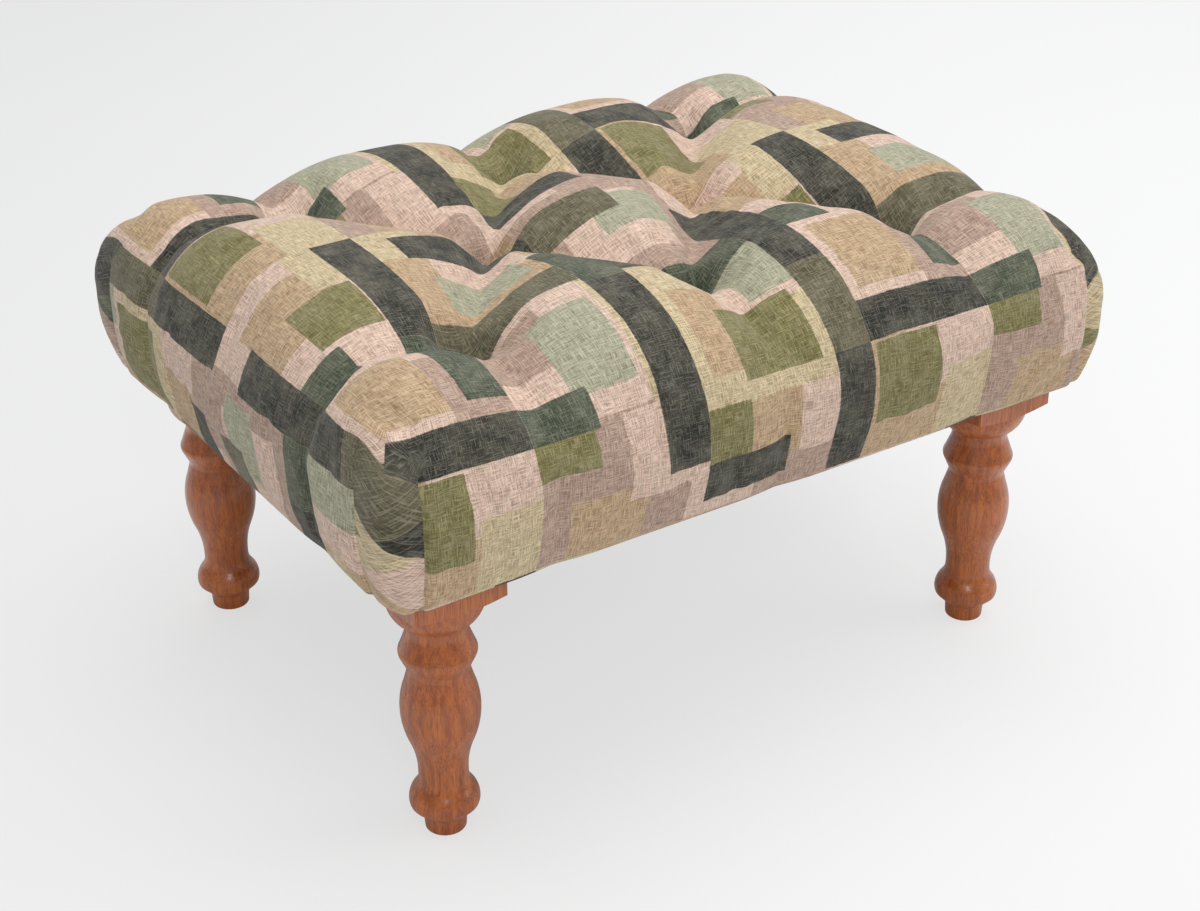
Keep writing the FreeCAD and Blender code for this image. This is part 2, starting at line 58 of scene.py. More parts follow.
class NodeSheet:
    """Node tree of one material, with short calls that add and join its nodes."""

    def __init__(self, name: str) -> None:
        """Start a material with a principled shader.

        Args:
            name: Name of the material.
        """
        self.material = bpy.data.materials.new(name)
        self.material.use_nodes = True
        self.tree = self.material.node_tree
        self.shader = self.tree.nodes["Principled BSDF"]

    def feed(self, socket: bpy.types.NodeSocket, value: object) -> None:
        """Join a socket to another, or set its own value.

        Args:
            socket: Input to fill.
            value: Output socket to join, or the value to set.
        """
        if isinstance(value, bpy.types.NodeSocket):
            self.tree.links.new(value, socket)
        else:
            socket.default_value = value

    def add(self, kind: str, inputs: dict | None = None, **settings: object) -> bpy.types.Node:
        """Add one node.

        Args:
            kind: Blender's name of the node type.
            inputs: Values or sockets for its inputs, by name or number.
            **settings: Attributes of the node.

        Returns:
            The new node.
        """
        node = self.tree.nodes.new(kind)
        for key, value in settings.items():
            setattr(node, key, value)
        for key, value in (inputs or {}).items():
            self.feed(node.inputs[key], value)
        return node

    def math(self, operation: str, first: object, second: object = 0.0) -> bpy.types.NodeSocket:
        """Add a math node and return its value.

        Args:
            operation: Name of the operation.
            first: First operand.
            second: Second operand.

        Returns:
            The value socket.
        """
        return self.add("ShaderNodeMath", {0: first, 1: second}, operation=operation).outputs[0]

    def mix(
        self, factor: object, first: object, second: object, blend: str = "MIX"
    ) -> bpy.types.NodeSocket:
        """Mix two colours.

        Args:
            factor: Share of the second colour.
            first: First colour.
            second: Second colour.
            blend: Way of mixing.

        Returns:
            The mixed colour's socket.
        """
        inputs = {0: factor, 6: first, 7: second}
        return self.add("ShaderNodeMix", inputs, data_type="RGBA", blend_type=blend).outputs[2]

    def noise(
        self, place: object, scale: float, detail: float = 3.0, rough: float = 0.5
    ) -> bpy.types.NodeSocket:
        """Noise value between 0 and 1.

        Args:
            place: Vector socket it is read at.
            scale: Waves per metre of the place.
            detail: Octaves.
            rough: Weight of the finer octaves.

        Returns:
            The value socket.
        """
        inputs = {"Vector": place, "Scale": scale, "Detail": detail, "Roughness": rough}
        return self.add("ShaderNodeTexNoise", inputs).outputs["Fac"]

    def stretched(self, place: object, scale: tuple[float, float, float]) -> bpy.types.NodeSocket:
        """Place scaled differently along each axis."""
        inputs = {0: place, 1: scale}
        return self.add("ShaderNodeVectorMath", inputs, operation="MULTIPLY").outputs[0]

    def remap(
        self, value: object, low: float, high: float, to_low: float = 0.0, to_high: float = 1.0
    ) -> bpy.types.NodeSocket:
        """Smooth step of a value between two limits.

        Args:
            value: Value to map.
            low: Lower limit of the value.
            high: Upper limit of the value.
            to_low: Result at the lower limit.
            to_high: Result at the upper limit.

        Returns:
            The mapped value's socket.
        """
        inputs = {0: value, 1: low, 2: high, 3: to_low, 4: to_high}
        node = self.add("ShaderNodeMapRange", inputs, interpolation_type="SMOOTHSTEP")
        return node.outputs[0]

    def bump(self, height: object, strength: float, distance: float) -> None:
        """Give the shader a bump.

        Args:
            height: Height socket, from 0 to 1.
            strength: Strength of the bump.
            distance: Height of a full step in metres.
        """
        inputs = {"Strength": strength, "Distance": distance, "Height": height}
        self.feed(self.shader.inputs["Normal"], self.add("ShaderNodeBump", inputs).outputs[0])

    def object_place(self) -> bpy.types.NodeSocket:
        """Place in the stool's own axes, in metres."""
        return self.add("ShaderNodeTexCoord").outputs["Object"]


def linear(red: int, green: int, blue: int) -> tuple[float, float, float, float]:
    """Colour of the shader from red, green and blue as they look on a screen.

    Args:
        red: Red, 0 to 255.
        green: Green, 0 to 255.
        blue: Blue, 0 to 255.

    Returns:
        Linear red, green, blue and full opacity.
    """
    return tuple((channel / 255) ** 2.2 for channel in (red, green, blue)) + (1.0,)


# Finishes


class Tint(Enum):
    """Inks of the printed linen."""

    CHARCOAL = (37, 39, 35)
    FOREST = (64, 74, 59)
    MOSS = (88, 84, 63)
    OLIVE = (116, 110, 66)
    SAGE = (158, 157, 134)
    SAND = (192, 173, 138)
    TAN = (179, 150, 118)
    PINK = (206, 177, 161)
    MAUVE = (168, 140, 126)


@dataclass(frozen=True)
class PrintBlock:
    """One rectangle of the print, in millimetres from the repeat's lower left corner."""

    tint: Tint
    left: float
    low: float
    width: float
    height: float


@dataclass(frozen=True)
class PrintedLinen:
    """Slubby linen with a repeat of overlapping blocks and dark bands.

    The print is read from the cloth's own coordinates, so it follows the cover over its edges
    and into its tufts. The sizes are millimetres, and the thread is waves per millimetre along
    it and across it.
    """

    repeat: tuple[float, float] = (330.0, 300.0)
    origin: tuple[float, float] = (170.0, -8.0)
    ragged: float = 0.5
    thread: tuple[float, float] = (0.12, 1.55)
    edge: float = 0.7
    blocks: tuple[PrintBlock, ...] = (
        PrintBlock(Tint.MAUVE, 0, 0, 100, 90),
        PrintBlock(Tint.PINK, 100, 0, 120, 70),
        PrintBlock(Tint.TAN, 220, 0, 110, 100),
        PrintBlock(Tint.PINK, 0, 90, 80, 110),
        PrintBlock(Tint.SAND, 80, 70, 130, 120),
        PrintBlock(Tint.PINK, 210, 100, 120, 90),
        PrintBlock(Tint.TAN, 0, 200, 110, 100),
        PrintBlock(Tint.MAUVE, 110, 190, 100, 110),
        PrintBlock(Tint.PINK, 210, 190, 120, 110),
        PrintBlock(Tint.TAN, 20, 0, 50, 40),
        PrintBlock(Tint.PINK, 58, 30, 44, 58),
        PrintBlock(Tint.TAN, 128, 20, 52, 50),
        PrintBlock(Tint.MAUVE, 150, 0, 70, 24),
        PrintBlock(Tint.PINK, 262, 40, 68, 58),
        PrintBlock(Tint.SAND, 290, 0, 40, 50),
        PrintBlock(Tint.MAUVE, 0, 130, 46, 42),
        PrintBlock(Tint.TAN, 120, 92, 62, 60),
        PrintBlock(Tint.PINK, 152, 130, 58, 60),
        PrintBlock(Tint.TAN, 240, 118, 50, 52),
        PrintBlock(Tint.MAUVE, 290, 100, 40, 60),
        PrintBlock(Tint.PINK, 30, 232, 60, 50),
        PrintBlock(Tint.SAND, 0, 262, 40, 38),
        PrintBlock(Tint.PINK, 128, 222, 64, 60),
        PrintBlock(Tint.TAN, 232, 222, 60, 58),
        PrintBlock(Tint.SAND, 282, 250, 48, 50),
        PrintBlock(Tint.OLIVE, 236, 26, 50, 56),
        PrintBlock(Tint.OLIVE, 112, 30, 30, 42),
        PrintBlock(Tint.SAGE, 34, 106, 42, 56),
        PrintBlock(Tint.OLIVE, 142, 84, 56, 50),
        PrintBlock(Tint.SAGE, 178, 138, 30, 42),
        PrintBlock(Tint.OLIVE, 258, 206, 44, 42),
        PrintBlock(Tint.SAGE, 24, 214, 54, 30),
        PrintBlock(Tint.SAGE, 150, 244, 50, 34),
        PrintBlock(Tint.OLIVE, 0, 58, 38, 32),
        PrintBlock(Tint.CHARCOAL, 84, 40, 28, 134),
        PrintBlock(Tint.FOREST, 84, 174, 28, 62),
        PrintBlock(Tint.CHARCOAL, 206, 0, 27, 84),
        PrintBlock(Tint.MOSS, 206, 84, 27, 62),
        PrintBlock(Tint.CHARCOAL, 206, 146, 27, 116),
        PrintBlock(Tint.FOREST, 303, 122, 27, 72),
        PrintBlock(Tint.CHARCOAL, 303, 194, 27, 106),
        PrintBlock(Tint.CHARCOAL, 233, 84, 97, 27),
        PrintBlock(Tint.FOREST, 0, 84, 42, 27),
        PrintBlock(Tint.MOSS, 0, 178, 84, 26),
        PrintBlock(Tint.CHARCOAL, 112, 178, 52, 26),
        PrintBlock(Tint.FOREST, 164, 178, 42, 26),
        PrintBlock(Tint.CHARCOAL, 18, 262, 94, 27),
        PrintBlock(Tint.MOSS, 112, 262, 58, 27),
        PrintBlock(Tint.CHARCOAL, 112, 10, 62, 26),
        PrintBlock(Tint.FOREST, 233, 176, 34, 26),
    )

    def block_group(self) -> bpy.types.NodeTree:
        """Node group that lays one ink over what is below it inside a rectangle.

        Returns:
            The group, with the place, the rectangle's centre and half size, and two colours.
        """
        group = bpy.data.node_groups.new("print_block", "ShaderNodeTree")
        for name, kind in (
            ("Place", "NodeSocketVector"),
            ("Centre", "NodeSocketVector"),
            ("Half", "NodeSocketVector"),
            ("Below", "NodeSocketColor"),
            ("Ink", "NodeSocketColor"),
        ):
            group.interface.new_socket(name, in_out="INPUT", socket_type=kind)
        group.interface.new_socket("Colour", in_out="OUTPUT", socket_type="NodeSocketColor")
        nodes = group.nodes
        start = nodes.new("NodeGroupInput")
        end = nodes.new("NodeGroupOutput")
        steps = []
        for operation in ("SUBTRACT", "ABSOLUTE", "SUBTRACT"):
            step = nodes.new("ShaderNodeVectorMath")
            step.operation = operation
            steps.append(step)
        split = nodes.new("ShaderNodeSeparateXYZ")
        reach = nodes.new("ShaderNodeMath")
        reach.operation = "MAXIMUM"
        mask = nodes.new("ShaderNodeMapRange")
        mask.interpolation_type = "SMOOTHSTEP"
        mask.inputs[1].default_value = self.edge / 2
        mask.inputs[2].default_value = -self.edge / 2
        lay = nodes.new("ShaderNodeMix")
        lay.data_type = "RGBA"
        for source, target in (
            (start.outputs["Place"], steps[0].inputs[0]),
            (start.outputs["Centre"], steps[0].inputs[1]),
            (steps[0].outputs[0], steps[1].inputs[0]),
            (steps[1].outputs[0], steps[2].inputs[0]),
            (start.outputs["Half"], steps[2].inputs[1]),
            (steps[2].outputs[0], split.inputs[0]),
            (split.outputs[0], reach.inputs[0]),
            (split.outputs[1], reach.inputs[1]),
            (reach.outputs[0], mask.inputs[0]),
            (mask.outputs[0], lay.inputs[0]),
            (start.outputs["Below"], lay.inputs[6]),
            (start.outputs["Ink"], lay.inputs[7]),
            (lay.outputs[2], end.inputs[0]),
        ):
            group.links.new(source, target)
        return group

    def printed(self, sheet: NodeSheet, in_mm: bpy.types.NodeSocket) -> bpy.types.NodeSocket:
        """Lay the blocks over each other, with slightly ragged edges.

        Args:
            sheet: Node tree to fill.
            in_mm: Place on the cloth in millimetres.

        Returns:
            Colour of the print.
        """
        drift = sheet.add("ShaderNodeTexNoise", {"Vector": in_mm, "Scale": 0.35, "Detail": 2.0})
        middle = {0: drift.outputs["Color"], 1: (0.5, 0.5, 0.5)}
        centred = sheet.add("ShaderNodeVectorMath", middle, operation="SUBTRACT")
        shift = sheet.stretched(centred.outputs[0], (self.ragged * 2, self.ragged * 2, 0.0))
        moved = sheet.add("ShaderNodeVectorMath", {0: shift, 1: (*self.origin, 0.0)}, operation="ADD")
        both = {0: in_mm, 1: moved.outputs[0]}
        place = sheet.add("ShaderNodeVectorMath", both, operation="ADD").outputs[0]
        wrap = {0: place, 1: (*self.repeat, 1.0), 2: (0.0, 0.0, 0.0)}
        tile = sheet.add("ShaderNodeVectorMath", wrap, operation="WRAP").outputs[0]
        group = self.block_group()
        colour: object = linear(*Tint.SAND.value)
        for block in self.blocks:
            inputs = {
                "Place": tile,
                "Centre": (block.left + block.width / 2, block.low + block.height / 2, 0.0),
                "Half": (block.width / 2, block.height / 2, 0.0),
                "Below": colour,
                "Ink": linear(*block.tint.value),
            }
            laid = sheet.tree.nodes.new("ShaderNodeGroup")
            laid.node_tree = group
            for key, value in inputs.items():
                sheet.feed(laid.inputs[key], value)
            colour = laid.outputs[0]
        return colour

    def weave(
        self, sheet: NodeSheet, in_mm: bpy.types.NodeSocket, colour: bpy.types.NodeSocket
    ) -> bpy.types.NodeSocket:
        """Colour the crossing threads and give them their relief.

        Args:
            sheet: Node tree to fill.
            in_mm: Place on the cloth in millimetres.
            colour: Colour of the print.

        Returns:
            Colour of the cloth.
        """
        weft = sheet.noise(sheet.stretched(in_mm, (*self.thread, 1.0)), 1.0, 2.0, 0.6)
        warp = sheet.noise(sheet.stretched(in_mm, (*self.thread[::-1], 1.0)), 1.0, 2.0, 0.6)
        melange = sheet.noise(in_mm, 0.9, 3.0, 0.75)
        lights = sheet.math("MAXIMUM", sheet.remap(weft, 0.52, 0.64), sheet.remap(warp, 0.52, 0.64))
        darks = sheet.math("MAXIMUM", sheet.remap(weft, 0.48, 0.36), sheet.remap(warp, 0.48, 0.36))
        flecks = sheet.remap(melange, 0.32, 0.68)
        patches = sheet.noise(in_mm, 0.05, 3.0, 0.6)
        lit = sheet.mix(1.0, colour, (1.42, 1.42, 1.4, 1.0), "MULTIPLY")
        pale = sheet.mix(0.16, lit, linear(236, 226, 204))
        deep = sheet.mix(1.0, colour, (0.46, 0.445, 0.42, 1.0), "MULTIPLY")
        woven = sheet.mix(sheet.math("MULTIPLY", darks, 0.85), colour, deep)
        slubs = sheet.math("MULTIPLY", lights, sheet.remap(melange, 0.25, 0.6, 0.3, 1.0))
        woven = sheet.mix(slubs, woven, pale)
        woven = sheet.mix(sheet.math("MULTIPLY", flecks, 0.2), woven, pale)
        halves = [sheet.math("MULTIPLY", threads, 0.5) for threads in (weft, warp)]
        sheet.bump(sheet.math("ADD", *halves), 0.5, 0.6 * MM)
        return sheet.mix(sheet.remap(patches, 0.35, 0.7, 0.0, 0.1), woven, linear(208, 200, 172))

    def build(self, cloth_map: str) -> bpy.types.Material:
        """Make the material.

        Args:
            cloth_map: Name of the UV map that holds the cloth's own coordinates in metres.

        Returns:
            The material.
        """
        sheet = NodeSheet("printed_linen")
        cloth = sheet.add("ShaderNodeUVMap", uv_map=cloth_map).outputs[0]
        in_mm = sheet.stretched(cloth, (1000.0, 1000.0, 0.0))
        worn = self.weave(sheet, in_mm, self.printed(sheet, in_mm))
        sheet.feed(sheet.shader.inputs["Base Color"], worn)
        sheet.shader.inputs["Roughness"].default_value = 0.88
        sheet.shader.inputs["Specular IOR Level"].default_value = 0.2
        sheet.shader.inputs["Sheen Weight"].default_value = 0.12
        sheet.shader.inputs["Sheen Roughness"].default_value = 0.5
        return sheet.material


@dataclass(frozen=True)
class StainedWood:
    """Wood with long pores and a coat of satin lacquer."""

    name: str
    pale: tuple[int, int, int]
    deep: tuple[int, int, int]
    pore: tuple[int, int, int]
    along: tuple[float, float, float]
    roughness: float
    coat: float

    def build(self) -> bpy.types.Material:
        """Make the material.

        Returns:
            The material.
        """
        sheet = NodeSheet(self.name)
        place = sheet.object_place()
        grain_place = sheet.stretched(place, self.along)
        figure = sheet.noise(grain_place, 260.0, 4.0, 0.7)
        pores = sheet.noise(grain_place, 1500.0, 2.0, 0.6)
        cloud = sheet.noise(place, 22.0, 2.0, 0.5)
        body = sheet.mix(sheet.remap(figure, 0.3, 0.7), linear(*self.deep), linear(*self.pale))
        body = sheet.mix(sheet.remap(cloud, 0.3, 0.75, 0.0, 0.35), body, linear(*self.pale))
        marks = sheet.remap(pores, 0.5, 0.68, 0.0, 0.55)
        body = sheet.mix(marks, body, linear(*self.pore))
        sheet.feed(sheet.shader.inputs["Base Color"], body)
        dull = sheet.remap(pores, 0.3, 0.8, self.roughness, self.roughness + 0.12)
        sheet.feed(sheet.shader.inputs["Roughness"], dull)
        sheet.shader.inputs["Coat Weight"].default_value = self.coat
        sheet.shader.inputs["Coat Roughness"].default_value = 0.24
        sheet.bump(sheet.math("SUBTRACT", 1.0, marks), 0.12, 0.2 * MM)
        return sheet.material


@dataclass(frozen=True)
class PlainCloth:
    """Unprinted soft stuff: dust cover, wadding, foam or twine."""

    name: str
    colour: tuple[int, int, int]
    other: tuple[int, int, int]
    grain: float
    relief: float
    roughness: float = 0.92

    def build(self) -> bpy.types.Material:
        """Make the material.

        Returns:
            The material.
        """
        sheet = NodeSheet(self.name)
        place = sheet.object_place()
        fibre = sheet.noise(place, self.grain, 4.0, 0.65)
        body = sheet.mix(sheet.remap(fibre, 0.3, 0.7), linear(*self.colour), linear(*self.other))
        sheet.feed(sheet.shader.inputs["Base Color"], body)
        sheet.shader.inputs["Roughness"].default_value = self.roughness
        sheet.shader.inputs["Specular IOR Level"].default_value = 0.2
        sheet.bump(fibre, 0.6, self.relief)
        return sheet.material


@dataclass(frozen=True)
class ZincSteel:
    """Zinc-plated steel of screws, staples, bolts and washers."""

    name: str = "zinc_steel"

    def build(self) -> bpy.types.Material:
        """Make the material.

        Returns:
            The material.
        """
        sheet = NodeSheet(self.name)
        place = sheet.object_place()
        cloud = sheet.noise(place, 500.0, 3.0, 0.6)
        body = sheet.mix(sheet.remap(cloud, 0.3, 0.7), linear(178, 180, 182), linear(214, 214, 208))
        sheet.feed(sheet.shader.inputs["Base Color"], body)
        sheet.feed(sheet.shader.inputs["Roughness"], sheet.remap(cloud, 0.2, 0.8, 0.26, 0.42))
        sheet.shader.inputs["Metallic"].default_value = 1.0
        sheet.bump(cloud, 0.1, 0.0001)
        return sheet.material


# Seat


@dataclass
class Fold:
    """A fold of the cover in the cloth's own coordinates, from one end to the other.

    The depth and half width are given at even steps along it.
    """

    start: tuple[float, float]
    end: tuple[float, float]
    depths: tuple[float, ...]
    half_widths: tuple[float, ...]

    def depth_at(self, u: np.ndarray, v: np.ndarray) -> np.ndarray:
        """Depth of the fold below the untufted seat.

        Args:
            u: Cloth coordinate along the stool.
            v: Cloth coordinate across the stool.

        Returns:
            Depth in metres at each point.
        """
        run = np.subtract(self.end, self.start)
        length = float(np.hypot(*run))
        along = ((u - self.start[0]) * run[0] + (v - self.start[1]) * run[1]) / length**2
        share = np.clip(along, 0.0, 1.0)
        off_u = u - self.start[0] - share * run[0]
        off_v = v - self.start[1] - share * run[1]
        crease = 1.5 * MM
        away = np.sqrt(off_u**2 + off_v**2 + crease**2) - crease
        steps = np.linspace(0.0, 1.0, len(self.depths))
        depth = np.interp(share, steps, self.depths)
        width = np.interp(share, steps, self.half_widths)
        return depth * np.clip(1.0 - away / width, 0.0, 1.0) ** 1.9


@dataclass
class SeatGrid:
    """Grid over the top, the four walls and the turned hem of a seat.

    A vertex lies on the flat top where its shares of the roll are 0. At a share of 1 or -1
    it lies on a wall.
    """

    along: np.ndarray
    across: np.ndarray
    upright: np.ndarray
    faces: np.ndarray
    top_faces: int
    wall: np.ndarray


@dataclass
class TuftedCushion:
    """Cushion with eight tufts: two rows of three and a middle row of two."""

    half_length: float
    half_width: float
    hem_height: float
    roll_foot: float = 247.0 * MM
    roll_along: float = 61.0 * MM
    roll_across: float = 93.0 * MM
    roll_rise: float = 64.0 * MM
    crown: float = 2.5 * MM
    side_bulge: float = 7.5 * MM
    corner_power: float = 7.0
    top_power: float = 4.6
    corner_bulge: float = 3.2 * MM
    pitch: float = 157.0 * MM
    row_offset: float = 109.0 * MM
    tuft_depth: float = 51.0 * MM
    tuft_radius: float = 46.0 * MM
    valley_depth: float = 23.0 * MM
    valley_half_width: float = 62.0 * MM
    spacing: float = 4.0 * MM
    hem_turn: float = 28.0 * MM
    fold_along: float = 0.716
    fold_across: float = 0.683
    fold_gap: float = 0.008
    fold_top: float = 272.0 * MM
    fold_run: float = 26.0 * MM
    fold_depth: float = 3.6 * MM
    fold_reach: float = 3.2 * MM
    flap: float = 2.6 * MM
    flap_lift: float = 0.8 * MM
    flap_reach: float = 12.0 * MM
    hem_lift: float = 1.0 * MM
    folds: list[Fold] = field(default_factory=list)

    def __post_init__(self) -> None:
        """Work out the cloth's sizes, the tufts and the folds between them."""
        self.flat_u = self.half_length - self.roll_along
        self.flat_v = self.half_width - self.roll_across
        self.half_roll_u = (self.roll_along + self.roll_rise) / 2 * math.pi / 4
        self.half_roll_v = (self.roll_across + self.roll_rise) / 2 * math.pi / 4
        self.side_length = self.roll_foot - self.hem_height
        self.tufts = [
            (place * self.pitch, row * self.row_offset) for row in (-1, 1) for place in (-1, 0, 1)
        ]
        self.tufts += [(side * self.pitch / 2, 0.0) for side in (-1, 1)]
        self.folds = self.diagonal_folds() + self.edge_folds()

    def diagonal_folds(self) -> list[Fold]:
        """Folds that run from the outer rows of tufts to the middle row.

        Returns:
            The eight folds.
        """
        depths = tuple(self.valley_depth * share for share in (1.0, 1.02, 1.0, 1.02, 1.0))
        widths = tuple(self.valley_half_width * share for share in (0.7, 0.95, 1.0, 0.95, 0.7))
        folds = []
        for start in self.tufts[:6]:
            for end in self.tufts[6:]:
                if abs(start[0] - end[0]) < self.pitch:
                    folds.append(Fold(start, end, depths, widths))
        return folds

    def edge_folds(self) -> list[Fold]:
        """Straight pleats that run from the outer tufts over the edge and down to the hem.

        Returns:
            The ten pleats.
        """
        reach_v = self.flat_v + 2 * self.half_roll_v + self.side_length
        reach_u = self.flat_u + 2 * self.half_roll_u + self.side_length
        depths = tuple(depth * MM for depth in (22.0, 19.0, 14.0, 9.0, 5.5, 4.0, 3.0, 2.2))
        widths = tuple(width * MM for width in (48.0, 58.0, 58.0, 50.0, 42.0, 36.0, 32.0, 28.0))
        folds = []
        for u, v in self.tufts[:6]:
            folds.append(Fold((u, v), (u, math.copysign(reach_v, v)), depths, widths))
            if abs(u) > self.pitch / 2:
                folds.append(Fold((u, v), (math.copysign(reach_u, u), v), depths, widths))
        return folds

    def tuck(self, u: np.ndarray, v: np.ndarray) -> np.ndarray:
        """Depth of all tufts and folds together, blended where they meet.

        Args:
            u: Cloth coordinate along the stool.
            v: Cloth coordinate across the stool.

        Returns:
            Depth in metres at each point.
        """
        power = 5.0
        total = np.zeros_like(u)
        for fold in self.folds:
            total += fold.depth_at(u, v) ** power
        for tuft_u, tuft_v in self.tufts:
            away = np.hypot(u - tuft_u, v - tuft_v) / self.tuft_radius
            total += (self.tuft_depth * np.clip(1.0 - away, 0.0, 1.0) ** 1.7) ** power
        return total ** (1.0 / power)

    def lines(self, flat: float, half_roll: float, fold_excess: float) -> np.ndarray:
        """Grid lines over the flat top and the upper half of the roll on each side of it.

        Args:
            flat: Half the flat part of the top in metres.
            half_roll: Length of cloth over half of the roll.
            fold_excess: Share of the roll at which a corner fold needs two lines close together.

        Returns:
            One row per line: its place on the flat part, and its share of the roll, -1 to 1.
        """
        inner = np.linspace(-flat, flat, 2 * round(flat / self.spacing) + 1)
        even = np.linspace(0.0, 1.0, round(half_roll / self.spacing) + 1)[1:]
        kept = even[np.abs(even - fold_excess) > 0.05]
        pair = np.array([fold_excess - self.fold_gap, fold_excess + self.fold_gap])
        rolled = np.sort(np.concatenate([kept, pair]))
        low = np.stack([np.full(len(rolled), -flat), -rolled[::-1]], axis=1)
        mid = np.stack([inner, np.zeros(len(inner))], axis=1)
        high = np.stack([np.full(len(rolled), flat), rolled], axis=1)
        return np.concatenate([low, mid, high])

    def rows(self) -> np.ndarray:
        """Rows of the sides, from below the middle of the roll down to the hem and under it.

        Returns:
            One row per line: its share of the roll, its drop below the roll, its turn under.
        """
        even = np.linspace(1.0, 0.0, round(self.half_roll_v / self.spacing) + 1)[1:]
        down = np.linspace(0.0, self.side_length, round(self.side_length / self.spacing) + 1)[1:]
        down = np.concatenate([down[:-1], [self.side_length - 1.2 * MM, self.side_length]])
        under = np.array([1.2 * MM, 5 * MM, 12 * MM, 20 * MM, self.hem_turn])
        roll_part = np.stack([even, 0 * even, 0 * even], axis=1)
        side_part = np.stack([0 * down, down, 0 * down], axis=1)
        full = np.full(len(under), self.side_length)
        return np.concatenate([roll_part, side_part, np.stack([0 * under, full, under], axis=1)])

    def grid(self) -> "SeatGrid":
        """Lay out the grid of the whole cover.

        Returns:
            The grid, with one entry per vertex and one row of four per face.
        """
        along = self.lines(self.flat_u, self.half_roll_u, self.fold_along)
        across = self.lines(self.flat_v, self.half_roll_v, self.fold_across)
        count_u, count_v = len(along), len(across)
        top = np.arange(count_u * count_v).reshape(count_u, count_v)
        first, second = np.meshgrid(np.arange(count_u), np.arange(count_v), indexing="ij")
        flat_part = [along[first.ravel()], across[second.ravel()]]
        count = count_u * count_v
        upright = np.stack([np.ones(count), np.zeros(count), np.zeros(count)], axis=1)
        faces = [
            np.stack([top[:-1, :-1], top[1:, :-1], top[1:, 1:], top[:-1, 1:]], axis=-1).reshape(-1, 4)
        ]
        rim = [top[:-1, 0], top[-1, :-1], top[:0:-1, -1], top[0, :0:-1]]
        loop = np.concatenate(rim)
        rows = self.rows()
        size = len(loop)
        ring = np.concatenate([loop[None, :], count + np.arange(size * len(rows)).reshape(-1, size)])
        shifted = np.roll(ring, -1, axis=1)
        sides = np.stack([ring[1:], shifted[1:], shifted[:-1], ring[:-1]], axis=-1).reshape(-1, 4)
        edge_u = np.tile(along[first.ravel()][loop], (len(rows), 1))
        edge_v = np.tile(across[second.ravel()][loop], (len(rows), 1))
        return SeatGrid(
            along=np.concatenate([flat_part[0], edge_u]),
            across=np.concatenate([flat_part[1], edge_v]),
            upright=np.concatenate([upright, np.repeat(rows, size, axis=0)]),
            faces=np.concatenate(faces + [sides]),
            top_faces=len(faces[0]),
            wall=np.repeat([0, 1, 0, 1], [len(part) for part in rim]),
        )

    def cloth_place(self, grid: SeatGrid) -> tuple[np.ndarray, np.ndarray]:
        """Cloth coordinates of the vertices as if each wall were unfolded straight.

        Args:
            grid: Grid of the seat.

        Returns:
            The two coordinates. A corner column has the reach of both walls.
        """
        places = []
        for line, half_roll in ((grid.along, self.half_roll_u), (grid.across, self.half_roll_v)):
            share = np.abs(line[:, 1])
            down = half_roll * (2 - grid.upright[:, 0]) + grid.upright[:, 1] + grid.upright[:, 2]
            reach = np.where(share > 0.999, down, half_roll * share)
            places.append(line[:, 0] + np.sign(line[:, 1]) * reach)
        return places[0], places[1]

    def surface(self, grid: SeatGrid, inset: float = 0.0) -> tuple[np.ndarray, np.ndarray]:
        """Points of the tufted seat and the outward directions there.

        Args:
            grid: Grid of the seat.
            inset: Distance below the cover's own surface in metres.

        Returns:
            Points and unit directions, one row per vertex.
        """
        power = self.corner_power + (self.top_power - self.corner_power) * grid.upright[:, 0]
        shares = [np.tan(np.abs(line[:, 1]) * math.pi / 4) for line in (grid.along, grid.across)]
        signs = [np.sign(line[:, 1]) for line in (grid.along, grid.across)]
        rise = np.tan(grid.upright[:, 0] * math.pi / 4)
        plan = (shares[0] ** power + shares[1] ** power) ** (1 / power)
        total = np.sqrt(plan**2 + rise**2)
        points = np.stack(
            [
                grid.along[:, 0] + self.roll_along * signs[0] * shares[0] / total,
                grid.across[:, 0] + self.roll_across * signs[1] * shares[1] / total,
                self.roll_foot + self.roll_rise * rise / total - grid.upright[:, 1],
            ],
            axis=1,
        )
        safe = np.maximum(plan, 1e-6) ** (2 - power)
        outward = np.stack(
            [
                signs[0] * safe * shares[0] ** (power - 1) / self.roll_along,
                signs[1] * safe * shares[1] ** (power - 1) / self.roll_across,
                rise / self.roll_rise,
            ],
            axis=1,
        )
        outward /= np.linalg.norm(outward, axis=1)[:, None]
        spread_x = np.clip(np.abs(points[:, 0]) / self.half_length, 0, 1)
        spread_y = np.clip(np.abs(points[:, 1]) / self.half_width, 0, 1)
        points[:, 2] += self.crown * (1 - spread_x**2) * (1 - spread_y**2) * (rise / total) ** 2
        height = 1 - grid.upright[:, 1] / self.side_length
        drawn = self.side_bulge * np.clip(1 - height / 0.78, 0, 1) ** 2.2
        place_u, place_v = self.cloth_place(grid)
        depth = self.tuck(place_u, place_v) + drawn + self.corner_step(grid, points) + inset
        points -= outward * (depth + grid.upright[:, 2])[:, None]
        points[:, 2] += np.clip(grid.upright[:, 2] / self.hem_turn * 4, 0, 1) * self.hem_lift
        return points + self.overlap(grid, points), outward

    def fold_share(self, points: np.ndarray) -> np.ndarray:
        """Share of a corner fold's full depth at each point, 0 at its upper end."""
        fall = np.clip((self.fold_top - points[:, 2]) / self.fold_run, 0, 1)
        return fall * fall * (3 - 2 * fall)

